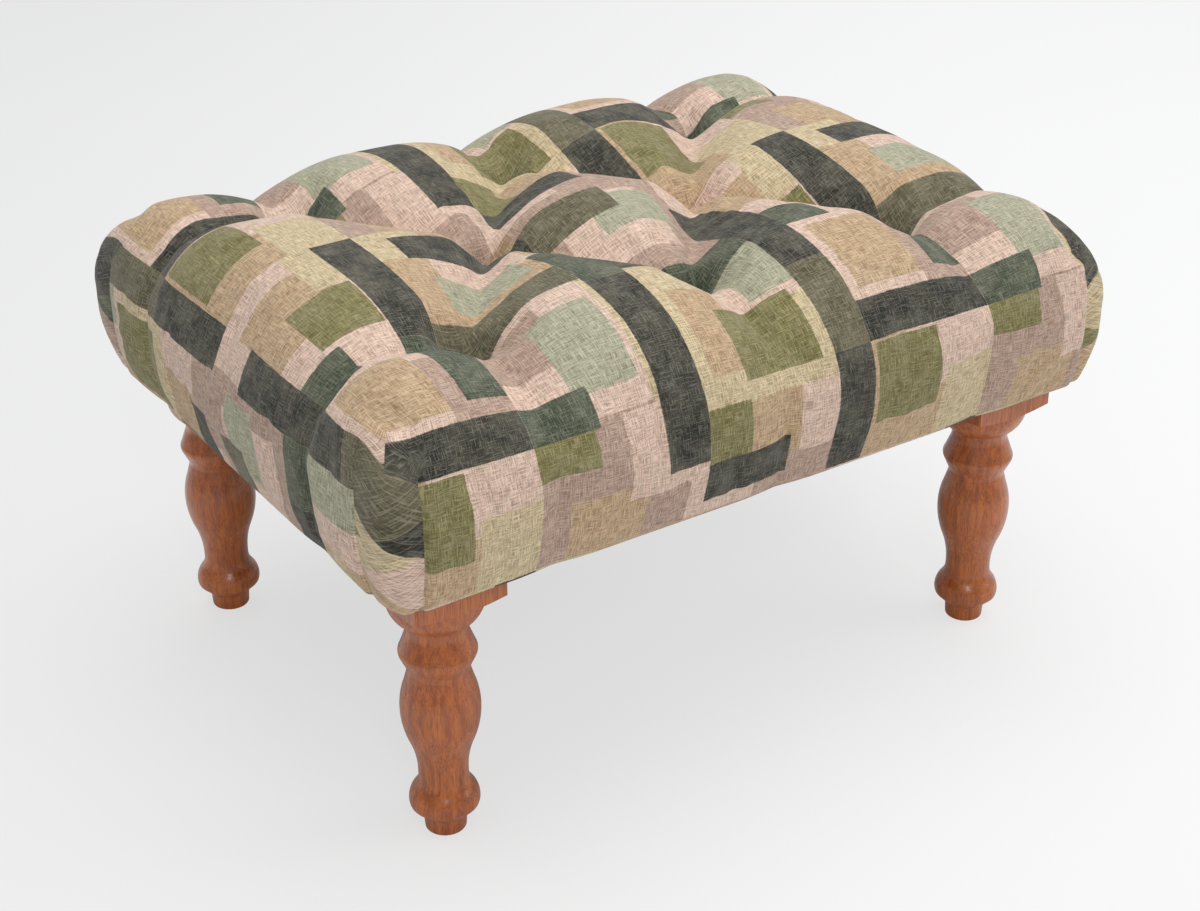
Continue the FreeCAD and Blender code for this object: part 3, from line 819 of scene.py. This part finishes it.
    def overlap(self, grid: SeatGrid, points: np.ndarray) -> np.ndarray:
        """Sideways shift that tucks the corner's cloth under the flaps of the walls.

        Args:
            grid: Grid of the seat.
            points: Points of the seat.

        Returns:
            Shift of each vertex in metres.
        """
        shift = np.zeros_like(points)
        for axis, line, other, fold in (
            (0, grid.along, grid.across, self.fold_along),
            (1, grid.across, grid.along, self.fold_across),
        ):
            under = np.abs(np.abs(line[:, 1]) - fold - self.fold_gap) < 1e-6
            tucked = under & (np.abs(other[:, 1]) > 0.999)
            inward = -np.sign(points[:, axis]) * self.flap * self.fold_share(points)
            shift[:, axis] = np.where(tucked, inward, 0.0)
        return shift

    def corner_step(self, grid: SeatGrid, points: np.ndarray) -> np.ndarray:
        """Depth of the folded corners, where a flap of each wall lies over the tucked corner.

        Args:
            grid: Grid of the seat.
            points: Points of the seat before the folds.

        Returns:
            Depth in metres at each vertex, below zero on the flaps.
        """
        fall = self.fold_share(points)
        depth = np.zeros(len(points))
        for line, other, fold, flat, reach in (
            (grid.along, grid.across, self.fold_along, self.flat_u, self.roll_along),
            (grid.across, grid.along, self.fold_across, self.flat_v, self.roll_across),
        ):
            share = np.abs(line[:, 1])
            past = reach * (fold - share) + (flat - np.abs(line[:, 0]))
            tucked = self.fold_depth * np.exp(np.minimum(past, 0) / self.fold_reach)
            lifted = -self.flap_lift * np.exp(-np.maximum(past, 0) / self.flap_reach)
            on_wall = np.abs(other[:, 1]) > 0.999
            depth += np.where(on_wall, np.where(past < 0, tucked, lifted), 0.0) * fall
        ends = [np.clip(np.abs(line[:, 1]) * 4 - 3, 0, 1) for line in (grid.along, grid.across)]
        square = ends[0] * ends[1]
        tall = np.clip((points[:, 2] - self.hem_height) / (30 * MM), 0, 1)
        return depth - self.corner_bulge * square * tall * np.clip(1.5 - grid.upright[:, 0], 0, 1)

    def print_map(self, grid: SeatGrid, points: np.ndarray) -> np.ndarray:
        """Cloth coordinates of every face corner, with the cloth on the bias at folded corners.

        Args:
            grid: Grid of the seat.
            points: Points of the seat.

        Returns:
            Cloth coordinates in metres, one row of four pairs per face.
        """
        place_u, place_v = self.cloth_place(grid)
        straight = np.stack([place_u, place_v], axis=1)[grid.faces]
        top = grid.top_faces
        side = grid.faces[top:]
        columns = len(grid.wall)
        wall = np.tile(grid.wall, len(side) // columns)
        along, across = grid.along[side], grid.across[side]
        upright = grid.upright[side]
        front = (wall == 0)[:, None]
        lateral = np.where(front[..., None], along, across)
        flat = np.where(front, self.flat_u, self.flat_v)
        own_roll = np.where(front, self.half_roll_u, self.half_roll_v)
        fold = np.where(front, self.fold_along, self.fold_across)
        own = own_roll * np.abs(lateral[..., 1])
        sign_u = np.sign(points[side][..., 0])
        sign_v = np.sign(points[side][..., 1])
        drop = upright[..., 1] + upright[..., 2]
        down_u = self.flat_u + self.half_roll_u * (2 - upright[..., 0]) + drop
        down_v = self.flat_v + self.half_roll_v * (2 - upright[..., 0]) + drop
        lateral_reach = np.sign(lateral[..., 1]) * own + lateral[..., 0]
        wall_u = np.where(front, lateral_reach, sign_u * down_u)
        wall_v = np.where(front, sign_v * down_v, lateral_reach)
        from_corner = (own_roll - own + flat - np.abs(lateral[..., 0])) * 0.62
        tilt = np.arctan2(math.sqrt(2), np.tan(upright[..., 0] * math.pi / 4))
        slant = (self.half_roll_u + self.half_roll_v) * (tilt * 2 / math.pi - 0.61) + drop
        near = (slant + from_corner) / math.sqrt(2)
        far = (slant - from_corner) / math.sqrt(2)
        edge_u = self.flat_u + self.half_roll_u
        edge_v = self.flat_v + self.half_roll_v
        bias_u = sign_u * (edge_u + np.where(front, far, near))
        bias_v = sign_v * (edge_v + np.where(front, near, far))
        level = np.clip((points[side][..., 2] - self.fold_top) / (30 * MM), 0, 1)
        middle = from_corner.mean(axis=1, keepdims=True)
        gauge = np.where(level > 0, from_corner, middle)
        soft = 14 * MM * level + 0.2 * MM
        reach = own_roll * (1 - fold) * 0.62
        inside = np.clip((reach - 0.45 * MM + soft - gauge) / (2 * soft), 0, 1)
        fade = np.clip((1 - upright[..., 0]) * 2.0, 0, 1)
        share = inside * inside * (3 - 2 * inside) * fade * fade * (3 - 2 * fade)
        straight[top:, :, 0] = wall_u + share * (bias_u - wall_u)
        straight[top:, :, 1] = wall_v + share * (bias_v - wall_v)
        return straight


@dataclass
class ClothRelaxer:
    """Short cloth simulation that fills a cover out between its pinned tufts and hem."""

    pressure: float = 4.0
    frames: int = 20
    limit: float = 7.0 * MM
    slack: float = -0.03
    stretch: float = 12.0
    shear: float = 4.0
    bending: float = 0.3

    def relax(self, piece: bpy.types.Object, pins: np.ndarray) -> None:
        """Run the simulation and keep its shape, capped near the starting one.

        Args:
            piece: Cover to fill out.
            pins: Hold of each vertex, 0 free to 1 fixed.
        """
        mesh = piece.data
        start = read_points(mesh)
        group = piece.vertex_groups.new(name="pins")
        for level in np.unique(np.round(pins, 2)):
            chosen = np.flatnonzero(np.abs(np.round(pins, 2) - level) < 1e-6)
            group.add([int(index) for index in chosen], float(level), "REPLACE")
        modifier = piece.modifiers.new("relax", "CLOTH")
        cloth = modifier.settings
        cloth.quality = 6
        cloth.mass = 0.3
        cloth.tension_stiffness = self.stretch
        cloth.compression_stiffness = self.stretch
        cloth.shear_stiffness = self.shear
        cloth.bending_stiffness = self.bending
        cloth.air_damping = 2
        cloth.use_pressure = True
        cloth.uniform_pressure_force = self.pressure
        cloth.shrink_min = self.slack
        cloth.effector_weights.gravity = 0
        cloth.vertex_group_mass = group.name
        modifier.point_cache.frame_start = 1
        modifier.point_cache.frame_end = self.frames
        scene = bpy.context.scene
        for frame_number in range(1, self.frames + 1):
            scene.frame_set(frame_number)
        shaped = piece.evaluated_get(bpy.context.evaluated_depsgraph_get()).to_mesh()
        moved = read_points(shaped) - start
        piece.modifiers.remove(modifier)
        piece.vertex_groups.remove(group)
        scene.frame_set(1)
        size = np.linalg.norm(moved, axis=1)
        capped = np.tanh(size / self.limit) * self.limit
        scale = np.where(size > 1e-9, capped / np.maximum(size, 1e-9), 0)
        write_points(mesh, start + moved * scale[:, None])
        log.info("cover filled out by up to %.1f mm", float(size.max()) / MM)


def read_points(mesh: bpy.types.Mesh) -> np.ndarray:
    """Vertex positions of a mesh, one row each."""
    flat = np.zeros(len(mesh.vertices) * 3, np.float32)
    mesh.vertices.foreach_get("co", flat)
    return flat.reshape(-1, 3).astype(float)


def read_normals(mesh: bpy.types.Mesh) -> np.ndarray:
    """Vertex normals of a mesh, one row each."""
    flat = np.zeros(len(mesh.vertices) * 3, np.float32)
    mesh.vertex_normals.foreach_get("vector", flat)
    return flat.reshape(-1, 3).astype(float)


def write_points(mesh: bpy.types.Mesh, points: np.ndarray) -> None:
    """Set the vertex positions of a mesh."""
    mesh.vertices.foreach_set("co", points.astype(np.float32).ravel())
    mesh.update()


def new_piece(
    name: str, points: np.ndarray, faces: np.ndarray, material: bpy.types.Material
) -> bpy.types.Object:
    """Make a smooth-shaded piece that rides on the stool.

    Args:
        name: Name of the piece.
        points: Vertex positions.
        faces: Vertex numbers of each face.
        material: Its finish.

    Returns:
        The piece.
    """
    mesh = bpy.data.meshes.new(name)
    mesh.from_pydata(points.tolist(), [], faces.tolist())
    mesh.polygons.foreach_set("use_smooth", np.ones(len(mesh.polygons), bool))
    mesh.materials.append(material)
    piece = bpy.data.objects.new(name, mesh)
    bpy.context.scene.collection.objects.link(piece)
    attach(piece, "root")
    return piece


@dataclass
class Seat:
    """Upholstered seat: printed cover, wadding under it and foam core."""

    shape: TuftedCushion
    relaxer: ClothRelaxer = field(default_factory=ClothRelaxer)
    cloth_map: str = "cloth"
    wadding_inset: float = 2.0 * MM
    foam_inset: float = 7.5 * MM
    grid: SeatGrid | None = None
    outside: np.ndarray | None = None
    outward: np.ndarray | None = None

    def pins(self, grid: SeatGrid) -> np.ndarray:
        """Hold of the cover's vertices at the tufts, along the folds and at the hem.

        Args:
            grid: Grid of the seat.

        Returns:
            Hold from 0 to 1 at each vertex.
        """
        place_u, place_v = self.shape.cloth_place(grid)
        hold = np.zeros(len(place_u))
        for tuft_u, tuft_v in self.shape.tufts:
            away = np.hypot(place_u - tuft_u, place_v - tuft_v)
            hold = np.maximum(hold, np.clip(1.6 - away / (9 * MM), 0, 1))
        for fold in self.shape.folds:
            crease = fold.depth_at(place_u, place_v) / max(fold.depths)
            hold = np.maximum(hold, 0.5 * np.clip((crease - 0.72) / 0.28, 0, 1))
        low = grid.upright[:, 1] / self.shape.side_length
        hold = np.maximum(hold, np.clip((low - 0.86) / 0.1, 0, 1))
        corner = (np.abs(grid.along[:, 1]) > 0.6) & (np.abs(grid.across[:, 1]) > 0.58)
        hold = np.maximum(hold, np.where(corner & (grid.upright[:, 0] < 0.3), 0.8, 0.0))
        return hold

    def build_cover(self, material: bpy.types.Material) -> bpy.types.Object:
        """Make the printed cover.

        Args:
            material: Its finish.

        Returns:
            The cover.
        """
        grid = self.shape.grid()
        points, _ = self.shape.surface(grid)
        cover = new_piece("printed_cover", points, grid.faces, material)
        layer = cover.data.uv_layers.new(name=self.cloth_map)
        uv = self.shape.print_map(grid, points).reshape(-1, 2)
        layer.data.foreach_set("uv", uv.astype(np.float32).ravel())
        self.relaxer.relax(cover, self.pins(grid))
        self.grid = grid
        self.outside = read_points(cover.data)
        self.outward = read_normals(cover.data)
        smooth = cover.modifiers.new("smooth", "SUBSURF")
        smooth.levels = 1
        smooth.render_levels = 1
        smooth.uv_smooth = "NONE"
        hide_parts("seat_cover")
        return cover

    def build_layer(
        self, name: str, node: str, inset: float, foot: float, material: bpy.types.Material, slot: str
    ) -> bpy.types.Object:
        """Make a soft layer that follows the finished cover from inside.

        Args:
            name: Name of the piece.
            node: Frame node that it stands for.
            inset: Distance of its surface below the cover's.
            foot: Height of its lower edge.
            material: Its finish.
            slot: Name of the layer's finish; not used.

        Returns:
            The layer.
        """
        points = self.outside - self.outward * inset
        points[:, 2] = np.maximum(points[:, 2], foot)
        columns = len(self.grid.wall)
        last = len(points) - 2 * columns
        faces = self.grid.faces[(self.grid.faces < last).all(axis=1)]
        layer = new_piece(name, points[:last], faces, material)
        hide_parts(node)
        return layer


@dataclass
class DustCover:
    """Thin black sheet stapled under the frame."""

    length: float = 0.480
    width: float = 0.362
    top: float = 187.4 * MM
    thickness: float = 0.35 * MM
    spacing: float = 5.0 * MM
    sag: float = 1.6 * MM
    held_edge: float = 60.0 * MM
    leg_place: tuple[float, float] = (209.35 * MM, 150.9 * MM)
    leg_clearance: float = 46.0 * MM
    leg_fade: float = 40.0 * MM

    def build(self, material: bpy.types.Material) -> bpy.types.Object:
        """Make the sheet, held along its edge and at the legs and slack between.

        Args:
            material: Its finish.

        Returns:
            The sheet.
        """
        across, deep = (
            np.linspace(-side / 2, side / 2, round(side / self.spacing) + 1)
            for side in (self.length, self.width)
        )
        grid_x, grid_y = np.meshgrid(across, deep, indexing="ij")
        edge_x = np.clip((self.length / 2 - np.abs(grid_x)) / self.held_edge, 0, 1)
        edge_y = np.clip((self.width / 2 - np.abs(grid_y)) / self.held_edge, 0, 1)
        leg = np.hypot(np.abs(grid_x) - self.leg_place[0], np.abs(grid_y) - self.leg_place[1])
        clear = np.clip((leg - self.leg_clearance) / self.leg_fade, 0, 1)
        slack = edge_x * edge_y * clear
        slack = slack * slack * (3 - 2 * slack)
        ripple = 0.35 * np.sin(grid_x * 61 + 2 * np.sin(grid_y * 23)) * np.sin(grid_y * 37 + 1.3)
        height = self.top - self.sag * slack * (0.65 + ripple)
        points = np.stack([grid_x, grid_y, height], axis=-1).reshape(-1, 3)
        index = np.arange(len(points)).reshape(grid_x.shape)
        corners = [index[:-1, :-1], index[:-1, 1:], index[1:, 1:], index[1:, :-1]]
        faces = np.stack(corners, axis=-1).reshape(-1, 4)
        piece = new_piece("dust_sheet", points, faces, material)
        solid = piece.modifiers.new("thickness", "SOLIDIFY")
        solid.thickness = self.thickness
        solid.offset = 0
        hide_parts("dust_cover")
        return piece


# Frame, room and picture


@dataclass
class FrameFinishes:
    """Finishes of the nodes that keep their own shape."""

    nodes: dict
    groups: tuple[tuple[str, tuple[str, ...]], ...] = (
        ("leg", tuple(f"{corner}_leg" for corner in CORNERS)),
        ("softwood", ("front_rail", "back_rail", "left_rail", "right_rail")),
        ("softwood", tuple(f"{corner}_corner_block" for corner in CORNERS)),
        ("plywood", ("deck_board",)),
        ("zinc", ("hanger_bolts", "threaded_inserts", "rail_screws", "block_screws")),
        ("zinc", ("deck_screws", "tuft_washers", "cover_staples", "dust_cover_staples")),
        ("twine", ("tuft_ties",)),
    )

    def dress(self, finishes: dict[str, bpy.types.Material]) -> None:
        """Give every node its finish.

        Args:
            finishes: Material of each group.
        """
        for group, names in self.groups:
            for name in names:
                mesh = self.nodes[name].data
                mesh.materials.clear()
                mesh.materials.append(finishes[group])
                log.info("%s dressed in %s", name, group)


@dataclass(frozen=True)
class Lamp:
    """Square lamp that faces the stool: its place, its side in metres and its power in watts."""

    name: str
    place: tuple[float, float, float]
    side: float
    power: float

    def build(self, target: tuple[float, float, float]) -> None:
        """Hang the lamp.

        Args:
            target: Point it faces.
        """
        data = bpy.data.lights.new(self.name, "AREA")
        data.size = self.side
        data.energy = self.power
        lamp = bpy.data.objects.new(self.name, data)
        lamp.location = self.place
        aim = Vector(target) - Vector(self.place)
        lamp.rotation_mode = "QUATERNION"
        lamp.rotation_quaternion = aim.to_track_quat("-Z", "Y")
        bpy.context.scene.collection.objects.link(lamp)


@dataclass
class Studio:
    """Pale floor, soft lights and the camera."""

    eye: tuple[float, float, float] = (-0.70097, -1.05649, 0.81580)
    yaw: float = math.radians(33.736)
    pitch: float = math.radians(28.725)
    roll: float = math.radians(-0.242)
    lens: float = 63.985
    floor_wash: float = 0.72
    floor_reach: float = 6.0
    lit_point: tuple[float, float, float] = (0.0, 0.0, 0.15)
    lamps: tuple[Lamp, ...] = (
        Lamp("overhead", (0.2, 0.1, 2.6), 2.4, 46.0),
        Lamp("camera_side", (-0.9, -1.9, 1.7), 0.5, 9.0),
        Lamp("right", (2.2, -1.4, 1.4), 1.2, 12.0),
    )

    def build_camera(self) -> None:
        """Place the camera."""
        forward = Vector(
            (
                math.sin(self.yaw) * math.cos(self.pitch),
                math.cos(self.yaw) * math.cos(self.pitch),
                -math.sin(self.pitch),
            )
        )
        right = Vector((math.cos(self.yaw), -math.sin(self.yaw), 0.0))
        above = right.cross(forward)
        turned = right * math.cos(self.roll) + above * math.sin(self.roll)
        upward = above * math.cos(self.roll) - right * math.sin(self.roll)
        data = bpy.data.cameras.new("camera")
        data.lens = self.lens
        data.sensor_width = 36.0
        data.sensor_fit = "HORIZONTAL"
        camera = bpy.data.objects.new("camera", data)
        turn = Matrix((turned, upward, -forward)).transposed().to_4x4()
        camera.matrix_world = Matrix.Translation(self.eye) @ turn
        bpy.context.scene.collection.objects.link(camera)
        bpy.context.scene.camera = camera

    def build_floor(self) -> None:
        """Lay the pale floor, which the camera sees mostly as a painted glow: painted light falloff
        from grey on the left to white on the right, and painted light that weakens the floor's cast
        shadows.
        """
        sheet = NodeSheet("pale_floor")
        place = sheet.object_place()
        cloud = sheet.noise(place, 1.3, 2.0, 0.5)
        tone = sheet.mix(cloud, linear(236, 236, 236), linear(242, 242, 242))
        sheet.feed(sheet.shader.inputs["Base Color"], tone)
        sheet.shader.inputs["Roughness"].default_value = 0.7
        sheet.shader.inputs["Specular IOR Level"].default_value = 0.2
        # Painted light falloff: the floor's glow for the camera runs from pale grey on the left to
        # white on the right, standing in for the uneven fall of the light.
        along = sheet.add("ShaderNodeSeparateXYZ", {0: place})
        side = sheet.math("SUBTRACT", along.outputs[0], sheet.math("MULTIPLY", along.outputs[1], 0.6))
        painted_falloff = sheet.mix(sheet.remap(side, -0.9, 0.9), linear(234, 234, 234), linear(253, 253, 253))
        glow = sheet.add("ShaderNodeEmission", {"Color": painted_falloff, "Strength": 1.0})
        # For camera rays this painted glow replaces most of the lit floor, so the stool's cast shadow
        # shows only faintly.
        seen = sheet.add("ShaderNodeLightPath").outputs["Is Camera Ray"]
        share = sheet.math("MULTIPLY", seen, self.floor_wash)
        both = {0: share, 1: sheet.shader.outputs[0], 2: glow.outputs[0]}
        mixed = sheet.add("ShaderNodeMixShader", both)
        sheet.feed(sheet.tree.nodes["Material Output"].inputs["Surface"], mixed.outputs[0])
        mesh = bpy.data.meshes.new("floor")
        reach = self.floor_reach
        corners = [(-reach, -reach, 0), (reach, -reach, 0), (reach, reach, 0), (-reach, reach, 0)]
        mesh.from_pydata(corners, [], [(0, 1, 2, 3)])
        mesh.materials.append(sheet.material)
        floor = bpy.data.objects.new("floor", mesh)
        bpy.context.scene.collection.objects.link(floor)

    def build_world(self) -> None:
        """Set the soft light from all round."""
        world = bpy.data.worlds.new("room")
        world.use_nodes = True
        shade = world.node_tree.nodes["Background"]
        shade.inputs["Color"].default_value = linear(244, 246, 248)
        shade.inputs["Strength"].default_value = 0.46
        bpy.context.scene.world = world

    def build(self) -> None:
        """Make the whole room."""
        self.build_camera()
        self.build_floor()
        self.build_world()
        for lamp in self.lamps:
            lamp.build(self.lit_point)
        bpy.context.scene.view_settings.view_transform = "Standard"


def main() -> None:
    """Build the stool's looks and the room round it."""
    logging.basicConfig(level=logging.INFO, format="%(message)s")
    shape = TuftedCushion(half_length=265.5 * MM, half_width=204.0 * MM, hem_height=187.6 * MM)
    seat = Seat(shape)
    linen = PrintedLinen().build(seat.cloth_map)
    wadding = PlainCloth("polyester_wadding", (236, 236, 230), (214, 214, 208), 900.0, 0.001).build()
    foam = PlainCloth("foam", (226, 210, 160), (206, 188, 136), 1500.0, 0.0006).build()
    dust = PlainCloth("black_dust_cloth", (26, 26, 27), (44, 44, 45), 1400.0, 0.0003).build()
    twine = PlainCloth("twine", (206, 190, 150), (150, 132, 96), 2600.0, 0.0003).build()
    Studio().build()
    layers = (
        ("wadding_layer", "wadding", seat.wadding_inset, 189.2 * MM, wadding, "polyester_wadding"),
        ("foam_core", "foam_block", seat.foam_inset, 243.2 * MM, foam, "foam"),
    )
    pieces = [seat.build_cover(linen)]
    pieces += [seat.build_layer(*layer) for layer in layers]
    pieces.append(DustCover().build(dust))
    for piece in pieces:
        log.info("%s built with %d faces", piece.name, len(piece.data.polygons))
    upright = (1.0, 1.0, 0.07)
    finishes = {
        "leg": StainedWood(
            "stained_leg_wood", (196, 106, 38), (146, 70, 24), (74, 34, 16), upright, 0.36, 0.6
        ).build(),
        "softwood": StainedWood(
            "frame_wood", (214, 182, 132), (190, 150, 100), (150, 112, 70), (0.1, 1.0, 1.0), 0.6, 0.0
        ).build(),
        "plywood": StainedWood(
            "deck_plywood", (206, 172, 124), (184, 146, 98), (140, 104, 66), (0.12, 1.0, 1.0), 0.6, 0.0
        ).build(),
        "zinc": ZincSteel().build(),
        "twine": twine,
    }
    FrameFinishes(frame["nodes"]).dress(finishes)


if __name__ == "__main__":
    main()
